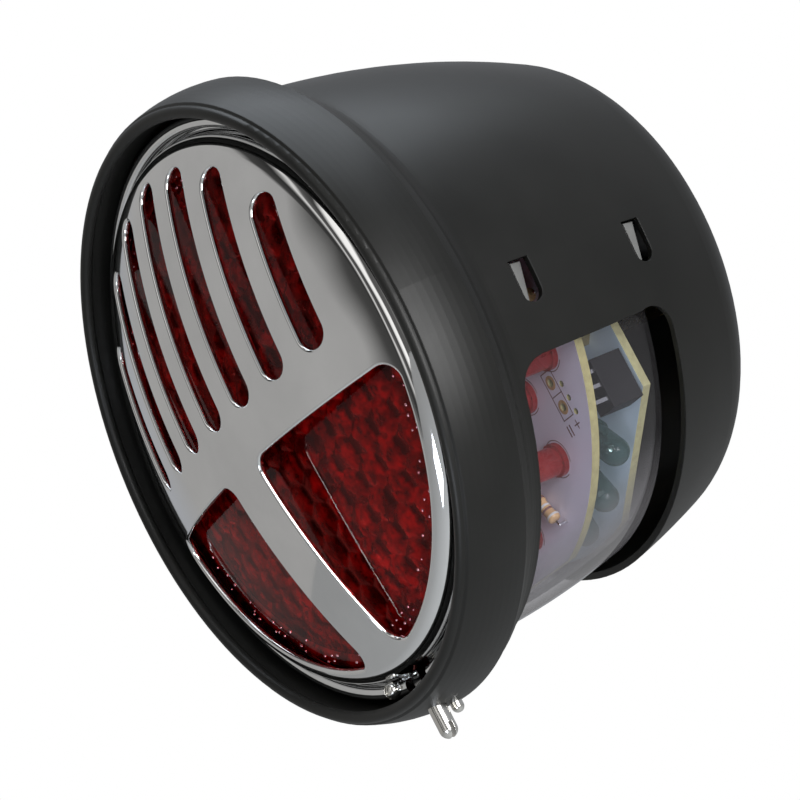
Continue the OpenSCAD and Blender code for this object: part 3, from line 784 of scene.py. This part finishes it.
# ---------------------------------------------------------------- stage and light
def stage_plane(name, half, centre, colour):
    me = bpy.data.meshes.new(name)
    corners = [(-half, -half, 0), (half, -half, 0), (half, half, 0), (-half, half, 0)]
    me.from_pydata(corners, [], [(0, 1, 2, 3)])
    t = Tree(name)
    n = t.noise(6, 3)
    col = t.mix(t.spread(n, 0, 1), colour, tuple(0.97 * c for c in colour))
    me.materials.append(t.finish(t.principled(Base_Color=col, Roughness=0.7)))
    o = bpy.data.objects.new(name, me)
    o.location = centre
    bpy.context.scene.collection.objects.link(o)


stage_plane("floor", 4.0, (0, 0, -0.55), (0.68, 0.68, 0.67))


# what mirrors see from left to right: a pale wall, dark furniture, bright strips near the camera
STOPS = ((0.0, 0.40), (0.25, 0.43), (0.32, 0.40), (0.36, 0.06), (0.46, 0.03), (0.50, 0.30), (0.54, 0.85),
         (0.58, 0.12), (0.66, 0.05), (0.71, 1.1), (0.79, 1.2), (0.83, 0.10), (0.92, 0.12), (1.0, 0.35))


def studio():
    """Even pale light, white to the camera, and a banded room to mirror rays only."""
    world = bpy.data.worlds.new("studio")
    bpy.context.scene.world = world
    world.use_nodes = True
    tree = world.node_tree
    tree.nodes.clear()

    def node(kind, links, **values):
        n = tree.nodes.new(kind)
        for k, v in values.items():
            setattr(n, k, v)
        for k, v in links.items():
            if isinstance(v, bpy.types.NodeSocket):
                tree.links.new(v, n.inputs[k])
            else:
                n.inputs[k].default_value = v
        return n.outputs

    def background(colour, strength):
        return node("ShaderNodeBackground", {"Color": colour, "Strength": strength})[0]

    way = node("ShaderNodeTexCoord", {})["Generated"]
    warp = node("ShaderNodeTexNoise", {"Vector": way, "Scale": 1.7})["Fac"]
    parts = node("ShaderNodeSeparateXYZ", {0: way})
    bend = node("ShaderNodeMath", {0: warp, 1: 0.35, 2: parts["X"]}, operation="MULTIPLY_ADD")[0]
    across = node("ShaderNodeMapRange", {"Value": bend, "From Min": -0.825, "From Max": 1.175})["Result"]
    ramp = node("ShaderNodeValToRGB", {"Fac": across})["Color"]
    elements = ramp.node.color_ramp.elements
    for i, (place, level) in enumerate(STOPS):
        e = elements[i] if i < 2 else elements.new(place)
        e.position = place
        e.color = (level, level * 0.985, level * 0.96, 1)
    ahead = node("ShaderNodeMapRange", {"Value": parts["Y"], "From Min": 0.05, "From Max": -0.15})["Result"]
    room = node("ShaderNodeMix", {0: ahead, 6: (0.40, 0.41, 0.43, 1), 7: ramp}, data_type="RGBA")[2]
    even = background((0.98, 0.99, 1.0, 1), 0.48)
    ray = node("ShaderNodeLightPath", {})
    seen = node("ShaderNodeMixShader", {0: ray["Is Glossy Ray"], 1: even, 2: background(room, 1.0)})[0]
    white = background((1, 1, 1, 1), 1.0)
    seen = node("ShaderNodeMixShader", {0: ray["Is Camera Ray"], 1: seen, 2: white})[0]
    node("ShaderNodeOutputWorld", {"Surface": seen})


studio()


def area(name, place, target, size, power, colour=(1, 1, 1)):
    d = bpy.data.lights.new(name, "AREA")
    d.shape = "SQUARE"
    d.size = size
    d.energy = power
    d.color = colour
    o = bpy.data.objects.new(name, d)
    o.location = place
    o.rotation_mode = "QUATERNION"
    o.rotation_quaternion = (Vector(target) - Vector(place)).to_track_quat("-Z", "Y")
    bpy.context.scene.collection.objects.link(o)


area("key", (0.15, 0.15, 0.9), (0, -0.03, 0), 0.9, 8, (0.86, 0.93, 1.0))
area("streak", (0.09, -0.25, -0.15), (0.035, -0.08, -0.03), 0.07, 0.16, (0.85, 0.90, 1.0))
area("window_fill", (0.45, -0.12, -0.06), (0.03, -0.035, -0.03), 0.25, 2.3)

scene = bpy.context.scene
scene.view_settings.view_transform = "Standard"
scene.view_settings.look = "None"
